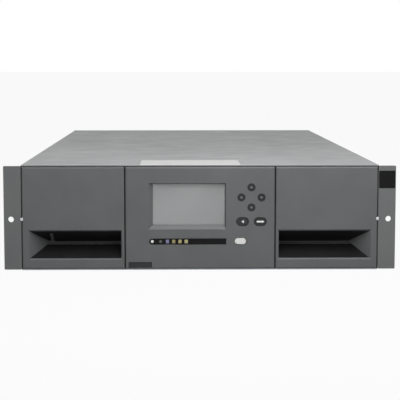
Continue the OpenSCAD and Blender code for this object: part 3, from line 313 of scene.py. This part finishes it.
def lattice(rows, columns, start=0):
    """Faces of a grid of points whose columns close into rings: rows x columns quads."""
    i = np.arange(rows - 1)[:, None] * columns
    j = np.arange(columns)[None, :]
    k = (j + 1) % columns
    quads = np.stack([i + j, i + k, i + columns + k, i + columns + j], -1)
    return quads.reshape(-1, 4) + start


def rings(stack):
    """Closed surface through a stack of rings (rows, columns, 3), with one face over each end ring.
    On turned and crowned pieces the end rings are shrunk to nearly a point."""
    rows, columns, _ = stack.shape
    faces = lattice(rows, columns).tolist()
    faces.append(list(range(columns))[::-1])
    faces.append(list(range((rows - 1) * columns, rows * columns)))
    return stack.reshape(-1, 3), faces


def rounded_outline(width, height, radius, count=12):
    """Outline of a rectangle with round corners: each corner is a quarter circle of that radius."""
    a = np.linspace(0, np.pi / 2, count)
    turns = np.concatenate([a, a + np.pi / 2, a + np.pi, a + 3 * np.pi / 2])
    sx = np.repeat([1, -1, -1, 1], count)
    sz = np.repeat([1, 1, -1, -1], count)
    x = sx * (width / 2 - radius) + radius * np.cos(turns)
    z = sz * (height / 2 - radius) + radius * np.sin(turns)
    return np.stack([x, z], -1)


def pad_stack(outline, x, z, front, back, crown, edge):
    """Rings of a pad seen from the front. Ring s of the outline lies at depth
    front + crown * s^2, then turns over a rounded edge and runs to the back plane."""
    s = np.array([0.001, 0.3, 0.6, 0.85, 1.0])
    turn = np.linspace(0, np.pi / 2, 5)[1:]
    size = np.abs(outline).max(0)
    scale = [np.array([k, k]) for k in s * (1 - edge / size.min())]
    depth = list(front + crown * s ** 2)
    inner = 1 - edge / size
    for a in turn:
        scale.append(inner + (edge / size) * np.sin(a))
        depth.append(front + crown + edge * (1 - np.cos(a)))
    scale += [np.array([1.0, 1.0]), np.array([0.001, 0.001])]
    depth += [back, back]
    stack = [np.stack([x + outline[:, 0] * k[0], np.full(len(outline), d), z + outline[:, 1] * k[1]], -1)
             for k, d in zip(scale, depth)]
    return np.array(stack)[:, ::-1]


def pad(name, outline, place, front, back, crown, edge, body, slot, material):
    """A pad of any star-shaped outline, standing on the front of the object."""
    points, faces = rings(pad_stack(outline, place[0], place[1], front, back, crown, edge))
    return piece(name, points, faces, body, slot, material)


def joined(parts):
    """Joins (points, faces) pairs into one pair."""
    points, faces, start = [], [], 0
    for p, f in parts:
        points.append(np.asarray(p))
        faces += [[start + int(i) for i in face] for face in f]
        start += len(p)
    return np.concatenate(points), faces


def block(low, high, edge=0.0):
    """Brick between two corners with its edges cut at 45 degrees: rings of eight points, drawn in by
    the edge at the bottom and the top."""
    low, high = np.array(low, float), np.array(high, float)
    e = max(edge, 1e-5)
    (x0, y0, z0), (x1, y1, z1) = low, high

    def ring(inset, z):
        a, b, c, d = x0 + inset, x1 - inset, y0 + inset, y1 - inset
        return [[a + e, c, z], [b - e, c, z], [b, c + e, z], [b, d - e, z],
                [b - e, d, z], [a + e, d, z], [a, d - e, z], [a, c + e, z]]

    stack = np.array([ring(e, z0), ring(0, z0 + e), ring(0, z1 - e), ring(e, z1)])
    return rings(stack)


def turned(profile, centre, axis, count=32):
    """Surface of revolution: a profile of (radius, distance along the axis) turned round it."""
    a = np.linspace(0, 2 * np.pi, count, endpoint=False)
    profile = np.asarray(profile, float)
    r = np.maximum(profile[:, 0], 1e-6)[:, None]
    d = profile[:, 1][:, None] * np.ones_like(a)
    u, v = r * np.cos(a), r * np.sin(a)
    order = {"x": (d, u, v), "y": (v, d, u), "z": (u, v, d)}[axis]
    return rings(np.stack(order, -1) + np.asarray(centre, float))


def slab(front, back):
    """Closed sheet between two grids of points (rows, columns, 3), turned so that it faces out."""
    rows, columns, _ = front.shape
    corner = (np.arange(rows - 1)[:, None] * columns + np.arange(columns - 1)[None, :]).ravel()
    quads = np.stack([corner, corner + 1, corner + columns + 1, corner + columns], -1)
    count = rows * columns
    grid = np.arange(count).reshape(rows, columns)
    rim = np.concatenate([grid[0, :-1], grid[:-1, -1], grid[-1, :0:-1], grid[:0:-1, 0]])
    after = np.roll(rim, -1)
    sides = np.stack([after, rim, rim + count, after + count], -1)
    faces = np.concatenate([quads, quads[:, ::-1] + count, sides])
    points = np.concatenate([front.reshape(-1, 3), back.reshape(-1, 3)])
    a, b, c, d = (points[faces[:, i]] for i in range(4))
    volume = (a * np.cross(b, c)).sum() + (a * np.cross(c, d)).sum()
    return points, (faces if volume > 0 else faces[:, ::-1]).tolist()


def levels(centre, axis, steps, count=6):
    """Closed form of rounded rectangles (width, height, radius, distance along the axis), one after
    the other. The axis is y for what faces front or back, and z for what lies flat."""
    stack = []
    for width, height, radius, along in steps:
        flat = rounded_outline(width, height, min(radius, width / 2.01, height / 2.01), count)
        d = np.full(len(flat), along)
        order = (flat[:, 0], d, flat[:, 1]) if axis == "y" else (flat[:, 0], flat[:, 1], d)
        stack.append(np.stack(order, -1))
    points, faces = rings(np.array(stack))
    return points + np.asarray(centre, float), faces


# ---------------------------------------------------------------- front

front_y = corners("panel_bezel")[0][1]
case_low, case_high = corners("chassis_base")[0], corners("top_cover")[1]
ear_high = corners("rack_ears")[1]


def badge_plate():
    """Bare black plate that lies in the pocket of the right-hand ear."""
    pocket, margin, height, below_top = ear_high[0] - case_high[0], 1.3 * MM, 21.6 * MM, 18 * MM
    outline = rounded_outline(pocket - margin, height, 0.9 * MM)
    place = (case_high[0] + pocket / 2, case_high[2] - below_top)
    pad("badge_plate", outline, place, front_y + 0.05 * MM, front_y + 0.5 * MM, 0.05 * MM, 0.3 * MM,
        "case", "black_plastic", PALETTE["black_plastic"])


LIGHTS = [
    # name, place from the first lens's edge, width, height, corner radius, the lens's shade and its lighter
    # painted glow (all mm)
    ("ready_light", 1.9, 3.8, 3.8, 1.89, "#d9d9d2", "#efefe9"),
    ("activity_light", 12.2, 3.8, 3.8, 1.89, "#3a3b3d", "#48494b"),
    ("cleaning_light", 20.6, 4.2, 4.8, 0.5, "#5b5880", "#77749c"),
    ("attention_light", 28.3, 4.2, 4.8, 0.5, "#7d7340", "#968a50"),
    ("media_light", 36.0, 4.2, 4.8, 0.5, "#8a8048", "#a89c60"),
    ("error_light", 43.7, 4.2, 4.8, 0.5, "#979064", "#b4ad7c"),
]


def indicator_lights():
    """Crowned lens over each indicator, in place of the plain ones."""
    low, high = corners("indicator_lenses")
    height = (low[2] + high[2]) / 2
    for name, x, w, h, r, shade, painted_glow in LIGHTS:
        made = pad(name, rounded_outline(w * MM, h * MM, r * MM), (low[0] + x * MM, height),
                   low[1], high[1], 0.25 * MM, 0.2 * MM, "case", "lens_plastic",
                   lens(name + "_pipe", shade, painted_glow))
        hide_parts("indicator_lenses")


def triangle(size, turn):
    """Outline of a triangle with cut corners, pointing up before it is turned."""
    a = np.radians([90, 210, 330])
    tips = np.stack([np.cos(a), np.sin(a)], -1) * size
    nearer = 0.86 * tips + 0.14 * np.roll(tips, 1, 0)
    further = 0.86 * tips + 0.14 * np.roll(tips, -1, 0)
    outline = np.stack([nearer, further], 1).reshape(-1, 2)
    c, s = math.cos(turn), math.sin(turn)
    return outline @ np.array([[c, s], [-s, c]])


def key_marks():
    """Printed marks: an arrowhead on each arrow key, a short arrow on the two oval keys."""
    print_t = 0.06 * MM

    def mark(key, name, outline, across, material, proud=1.0):
        low, high = corners(key)
        middle = (low + high) / 2
        pad(name, outline, (middle[0] + across * MM, middle[2]), low[1] - proud * print_t,
            low[1] + print_t, 0, 0.02 * MM, key, "label_film", material)

    for key, turn in (("up_key", 0), ("left_key", 90), ("down_key", 180), ("right_key", 270)):
        mark(key, key + "_arrow", triangle(1.9 * MM, math.radians(turn)), 0, GREY_PRINT)
    mark("back_key", "back_key_mark", triangle(2.3 * MM, math.radians(90)), 0.6, WHITE_PRINT)
    bar = rounded_outline(7.4 * MM, 2.0 * MM, 0.5 * MM)
    mark("enter_key", "enter_key_bar", bar, -0.7, WHITE_PRINT)
    mark("enter_key", "enter_key_mark", triangle(2.1 * MM, math.radians(270)), 3.3, WHITE_PRINT, 1.2)


def display_face():
    """Liquid crystal sheet in the display module, with a narrow grey border round its cells."""
    low, high = corners("display_module")
    place = ((low[0] + high[0]) / 2, (low[2] + high[2]) / 2)
    seat = low[1] + 0.78 * MM   # the module's face, behind its rim
    border = rounded_outline(91 * MM, 52 * MM, 0.6 * MM, 4)
    pad("display_border", border, place, seat - 0.25 * MM, seat, 0, 0.1 * MM,
        "case", "black_plastic", GREY_PRINT)
    cells = rounded_outline(89.2 * MM, 50.6 * MM, 0.5 * MM, 4)
    pad("display_cells", cells, place, seat - 0.45 * MM, seat - 0.1 * MM, 0, 0.1 * MM,
        "case", "display_panel", PALETTE["display_panel"])


def recess_dark_sheets():
    """Black sheets that make the two slopes of each pull recess dark, in millimetres from the middle of the
    face. Each is a sheet over a grid: u runs from the inner end to the hip, and t from 0 at the face to 1 at
    the recess's full depth. The hip lies at hip - fall t, and the height runs straight from the recess's
    edge to its ridge."""
    lip, deep, hip, fall, thick = 1.2, 30.0, 210.3, 23.0, 0.3
    inner, past_hip = 97.6, 300.0
    bottom, lower_ridge, top, upper_ridge = 14.2, 31.15, 48.9, 31.95
    slot_x0, slot_x1 = 181.9, 186.1

    def panel(x0, x1, z0, z1, t_end, t_start=0.03):
        t = np.linspace(t_start, t_end, 13)[:, None]
        u = np.linspace(0, 1, 25)[None, :]
        right = np.minimum(x1, hip - fall * t - 0.25)
        x = x0 + (right - x0) * u
        y = lip + (deep - lip) * t + 0 * u
        z = z0 + (z1 - z0) * t + 0 * u
        away = np.array([0, -(z1 - z0), deep - lip])
        away = away / np.linalg.norm(away) * (1 if z1 > z0 else -1)
        under = np.stack([x, y, z], -1)
        return under + away * thick, under + away * 0.02

    low = panel(inner, past_hip, bottom, lower_ridge, 0.84)
    high = panel(inner, past_hip, top, upper_ridge, 0.985)
    # The left recess leaves its release slot free: beside it, beyond it and in front of it
    beside = [panel(inner, slot_x0, top, upper_ridge, 0.985),
              panel(slot_x1, past_hip, top, upper_ridge, 0.9),
              panel(slot_x0, slot_x1, top, upper_ridge, 0.22)]
    for side, sign, panels in (("left", -1, [low] + beside), ("right", 1, [low, high])):
        scale = np.array([sign, 1, 1]) * MM
        start = np.array([0, front_y, 0])
        points, faces = joined([slab(a * scale + start, b * scale + start) for a, b in panels])
        piece(side + "_recess_dark_sheet", points, faces, side + "_magazine", "bezel_plastic", DARK_RECESS_SHEET)


def screw_head(centre, sign, radius=3.0, height=1.4):
    """Pan head with a cross recess, pointing to sign x. Over the radius r its height is
    height (1 - 0.8 (r / R)^4), and 0.7 lower within 0.45 of either cross line, up to r = 1.8 (mm)."""
    r = np.array([0.02, 0.3, 0.6, 0.9, 1.2, 1.5, 1.75, 1.9, 2.3, 2.7, 3.0]) * radius / 3.0
    a = np.linspace(0, 2 * np.pi, 40, endpoint=False)
    u, v = r[:, None] * np.cos(a), r[:, None] * np.sin(a)
    cross = (np.minimum(np.abs(u), np.abs(v)) < 0.45) & (r[:, None] < 1.8)
    rise = height * (1 - 0.8 * (r[:, None] / radius) ** 4) - 0.7 * cross
    top = np.stack([rise, u, v], -1)
    base = top[-1:] * [0, 1, 1]
    stack = np.concatenate([top, base, base * [1, 0.01, 0.01]]) * MM
    stack[..., 0] *= sign
    if sign < 0:
        stack = stack[:, ::-1]
    return rings(stack[:, ::-1] + np.asarray(centre))


def screws():
    """Side screws of the ears and the cover with their cross recesses, and the two bright studs."""
    side = case_high[0]
    ear_t, ear_screw_y, ear_screw_z = 2 * MM, front_y + 26 * MM, 22 * MM
    cover_screw_z = corners("top_cover")[1][2] - 6.2 * MM
    cover_screw_y = np.linspace(front_y + 80 * MM, corners("chassis_base")[1][1] - 50 * MM, 4)
    heads = []
    for sign in (-1, 1):
        for z in (ear_screw_z, case_high[2] - ear_screw_z):
            heads.append(screw_head((sign * (side + ear_t), ear_screw_y, z), sign))
        for y in cover_screw_y:
            heads.append(screw_head((sign * side, y, cover_screw_z), sign))
    made = piece("case_screw_heads", *joined(heads), "case", "screw_zinc", PALETTE["screw_zinc"], 25)
    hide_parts("case_screws")
    # Stud: radius and distance from its front end, 1.4 mm long
    profile = np.array([(0.01, 0), (1.5, 0), (2.0, 0.2), (2.2, 0.7), (2.2, 1.4), (0.01, 1.4)]) * MM
    stud_y, stud_z = corners("case_screws")[0][1], 63.3 * MM
    studs = [turned(profile, (sign * (side - 0.5 * MM), stud_y, stud_z), "y") for sign in (-1, 1)]
    made = piece("captive_studs", *joined(studs), "case", "screw_zinc", PALETTE["screw_zinc"], 40)
    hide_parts("case_screws")


def ear_gap_shade_strips():
    """Black strips of painted shade in the slit between each ear and its bezel, and behind the ear's inner
    corners.
    """
    side, ear_back, slit_deep, corner_deep = case_high[0], 3.05, 19.5, 4.5
    inner, outer, corner_x = side - 0.55 * MM, side - 0.05 * MM, side + 1.6 * MM
    bottom, top, corner_h = 1.2 * MM, case_high[2] - 1.2 * MM, 4.8 * MM
    spans = [(inner, outer, slit_deep, bottom, top),
             (inner, corner_x, corner_deep, bottom, corner_h),
             (inner, corner_x, corner_deep, case_high[2] - corner_h, top)]
    parts = []
    for sign in (-1, 1):
        for x0, x1, y1, z0, z1 in spans:
            a, b = sorted((sign * x0, sign * x1))
            parts.append(block((a, front_y + ear_back * MM, z0), (b, front_y + y1 * MM, z1)))
    # black rubber sheets that stand in for the shade in these gaps
    piece("ear_gap_shade_strips", *joined(parts), "case", "ear_paint", PALETTE["belt_rubber"], 0)


badge_plate()
ear_gap_shade_strips()
indicator_lights()
key_marks()
display_face()
recess_dark_sheets()
screws()

# ---------------------------------------------------------------- back and inside


back_y = corners("rear_panel")[1][1]
SOCKET_FLOOR = 1.5          # thickness of a socket's floor, mm
PIN_PITCH, ROW_PITCH = 2.5, 3.0
PIN_HALF, PIN_END = 0.35, 1.6   # half a pin's width, and how far its tip lies inside the back


def socket(x, z, width, height, deep, wall=0.8):
    """Plated shell of a connector, open to the back: it runs forward by deep, with a floor inside."""
    w, h, b = width * MM, height * MM, wall * MM
    floor, far = -(deep - SOCKET_FLOOR) * MM, -deep * MM
    return levels((x, back_y - 0.1 * MM, z), "y", [
        (0.02 * w, 0.02 * h, 1e-5, far), (w, h, 0.8 * MM, far), (w, h, 0.8 * MM, -0.2 * MM),
        (w - 0.4 * MM, h - 0.4 * MM, 0.8 * MM, 0), (w - 2 * b, h - 2 * b, 0.5 * MM, 0),
        (w - 2 * b, h - 2 * b, 0.5 * MM, floor), (0.02 * w, 0.02 * h, 1e-5, floor)])


def contacts(x, z, width, rows, deep):
    """Gold-flashed pins in rows, 2.5 mm apart, standing on the floor of a socket that deep."""
    count = int(width / PIN_PITCH)
    foot = back_y - (deep - SOCKET_FLOOR + 0.1) * MM
    parts = []
    for row in range(rows):
        for i in range(count):
            cx = x + (i - (count - 1) / 2) * PIN_PITCH * MM
            cz = z + (row - (rows - 1) / 2) * ROW_PITCH * MM
            parts.append(block((cx - PIN_HALF * MM, foot, cz - PIN_HALF * MM),
                               (cx + PIN_HALF * MM, back_y - PIN_END * MM, cz + PIN_HALF * MM),
                               0.15 * MM))
    return parts


def drive_backs():
    """Two connectors in the back plate of each drive sled, and the chips of its interface card."""
    deep, up, card_up, chip_t = 9.0, 20 * MM, 7.6 * MM, 1.6 * MM
    # Left edge, distance of the front edge from the back, and side length of each chip, in mm
    layout = ((-40, 34, 16), (8, 36, 20), (44, 30, 10), (-58, 24, 9))
    for k in (1, 2, 3):
        body = "drive_%d" % k
        bottom = corners("drive_sled_%d" % k)[0][2]
        shells, pins = [], []
        for x in (-49 * MM, -19 * MM):
            shells.append(socket(x, bottom + up, 21.4, 11.4, deep))
            pins += contacts(x, bottom + up, 16, 2, deep)
        piece(body + "_sockets", *joined(shells), body, "galvanised_sheet", PALETTE["galvanised_sheet"])
        piece(body + "_socket_pins", *joined(pins), body, "galvanised_sheet", CONTACT_GOLD, 0)
        card = bottom + card_up
        chips = [block((x * MM, back_y - d * MM, card),
                       ((x + w) * MM, back_y - (d - w) * MM, card + chip_t), 0.3 * MM)
                 for x, d, w in layout]
        piece(body + "_card_chips", *joined(chips), body, "galvanised_sheet", CHIP_EPOXY)


def controller_parts():
    """Controller sled: sockets in its back plate, and on its board a finned heat sink and chips."""
    low = corners("controller_sled")[0]
    board = low + np.array([0, 0, 8.6]) * MM
    deep = 12.0
    # First of two sockets and its distance to the second, height, width, height of the opening,
    # length of a row of pins, rows of pins (all but the last in mm)
    kinds = ((19.5, 20.0, 16.0, 14.4, 11.4, 10, 2), (66.5, 18.0, 13.0, 12.4, 5.4, 8, 1))
    shells, pins = [], []
    for i in range(2):
        for first, apart, up, width, height, row_length, rows in kinds:
            x, z = low[0] + (first + apart * i) * MM, low[2] + up * MM
            shells.append(socket(x, z, width, height, deep))
            pins += contacts(x, z, row_length, rows, deep)
    piece("controller_sockets", *joined(shells), "controller", "galvanised_sheet",
          PALETTE["galvanised_sheet"])
    piece("controller_socket_pins", *joined(pins), "controller", "galvanised_sheet", CONTACT_GOLD, 0)

    def on_board(x, y, z, width, length, height, edge=0.3):
        start = board + np.array([x, y, z]) * MM
        return block(start, start + np.array([width, length, height]) * MM, edge * MM)

    # Heat sink: a square plate, and 12 fins that stand 3.2 mm apart and 0.2 mm deep in it
    fins = [on_board(40, 60, 0, 40, 40, 3)]
    fins += [on_board(41 + 3.2 * i, 61, 2.8, 1.2, 38, 13.2, 0.2) for i in range(12)]
    piece("controller_heat_sink", *joined(fins), "controller", "galvanised_sheet", HEAT_SINK)
    # Chips: left edge, front edge, width, length, height
    chips = [on_board(x, y, 0, w, d, h)
             for x, y, w, d, h in ((14, 30, 18, 18, 2), (90, 40, 14, 20, 1.6), (20, 70, 12, 12, 1.5),
                                   (88, 80, 16, 10, 1.5), (20, 100, 10, 30, 6), (50, 24, 30, 10, 3))]
    piece("controller_chips", *joined(chips), "controller", "galvanised_sheet", CHIP_EPOXY)


def wire_ring(centre, radius, wire, around=64, across=8):
    """Ring of wire that faces back: a circle of the wire's radius, carried round a larger circle.
    Point numbers past the last one start again at 0, which closes the ring."""
    a = np.linspace(0, 2 * np.pi, around, endpoint=False)[:, None]
    tube = np.linspace(0, 2 * np.pi, across, endpoint=False)[None, :]
    r = radius + wire * np.cos(tube)
    points = np.stack([r * np.cos(a), wire * np.sin(tube) + 0 * a, r * np.sin(a)], -1)
    faces = lattice(around + 1, across) % (around * across)
    return points.reshape(-1, 3) + np.asarray(centre), faces.tolist()


def fan_guards():
    """Wire finger guard on each power supply: three rings of 1.2 mm wire in front of the fan."""
    for k in (1, 2):
        low, high = corners("psu_fan_%d" % k)
        centre = ((low[0] + high[0]) / 2, back_y - 0.7 * MM, (low[2] + high[2]) / 2)
        parts = [wire_ring(centre, radius * MM, 0.6 * MM) for radius in (9.2, 12.2, 15.2)]
        body = "psu_%d" % k
        piece(body + "_guard", *joined(parts), body, "galvanised_sheet", PALETTE["shaft_steel"])


drive_backs()
controller_parts()
fan_guards()

# ---------------------------------------------------------------- floor, light and camera


def studio():
    """Pale floor, three soft lamps and a white surround for what the camera and mirrors see."""
    reach = 60.0
    square = [(-reach, -reach, 0), (reach, -reach, 0), (reach, reach, 0), (-reach, reach, 0)]
    mesh = bpy.data.meshes.new("floor")
    mesh.from_pydata(square, [], [(0, 1, 2, 3)])
    floor = bpy.data.objects.new("floor", mesh)
    bpy.context.scene.collection.objects.link(floor)
    floor.location.z = cad_bounds[0][2] - 0.2 * MM
    material = bpy.data.materials.new("pale_studio_floor")
    material.use_nodes = True
    tree = material.node_tree
    tree.nodes.clear()
    place = add(tree, "ShaderNodeTexCoord").outputs["Object"]
    grey = tint(tree, noise(tree, place, 400), "#a9a9a9", "#adadad")
    matt = add(tree, "ShaderNodeBsdfDiffuse", {"Color": grey})
    white = add(tree, "ShaderNodeEmission", {"Color": (1, 1, 1, 1), "Strength": 1.0})
    seen = camera_share(tree, 0.94)
    mix = add(tree, "ShaderNodeMixShader", {0: seen, 1: matt.outputs[0], 2: white.outputs[0]})
    add(tree, "ShaderNodeOutputMaterial", {"Surface": mix.outputs[0]})
    mesh.materials.append(material)

    world = bpy.data.worlds.new("surround")
    bpy.context.scene.world = world
    world.use_nodes = True
    tree = world.node_tree
    tree.nodes.clear()
    seen = camera_share(tree, 1.0)
    strength = add(tree, "ShaderNodeMapRange",
                   {"Value": seen, "To Min": 0.22, "To Max": 1.0}).outputs["Result"]
    sky = add(tree, "ShaderNodeBackground", {"Color": (1, 1, 1, 1), "Strength": strength})
    add(tree, "ShaderNodeOutputWorld", {"Surface": sky.outputs[0]})

    lamp("key_lamp", (0.12, -0.82, 0.6), (0.02, -0.43, 0.12), 0.55, 5.6)
    lamp("fill_lamp", (-1.8, -2.2, 1.2), (0, -0.3, 0.05), 1.6, 7)
    lamp("top_lamp", (0.6, 0.2, 2.6), (0, 0.1, 0), 2.0, 6)


def camera_share(tree, amount):
    """Amount for rays from the camera or off metal and glass, and 0 for the light on the object."""
    rays = add(tree, "ShaderNodeLightPath")
    most = rays.outputs["Is Camera Ray"]
    for other in ("Is Glossy Ray", "Is Transmission Ray"):
        most = add(tree, "ShaderNodeMath", {0: most, 1: rays.outputs[other]}, operation="MAXIMUM").outputs[0]
    return add(tree, "ShaderNodeMath", {0: most, 1: amount}, operation="MULTIPLY").outputs[0]


def lamp(name, place, target, size, power):
    """A square soft lamp that faces its target."""
    data = bpy.data.lights.new(name, "AREA")
    data.shape = "SQUARE"
    data.size = size
    data.energy = power
    made = bpy.data.objects.new(name, data)
    made.location = place
    made.rotation_euler = (Vector(target) - Vector(place)).to_track_quat("-Z", "Y").to_euler()
    bpy.context.scene.collection.objects.link(made)


def camera():
    """Camera a little left of the middle and above the case, looking slightly down."""
    data = bpy.data.cameras.new("camera")
    data.lens = 115.5
    data.sensor_width = 36
    data.clip_end = 50
    made = bpy.data.objects.new("camera", data)
    made.location = (-0.0287, -2.0051, 0.2518)
    yaw, pitch = math.radians(1.042), math.radians(5.991)
    ahead = Vector((math.sin(yaw) * math.cos(pitch), math.cos(yaw) * math.cos(pitch), -math.sin(pitch)))
    made.rotation_euler = ahead.to_track_quat("-Z", "Y").to_euler()
    bpy.context.scene.collection.objects.link(made)
    bpy.context.scene.camera = made


studio()
camera()
bpy.context.scene.view_settings.view_transform = "Standard"
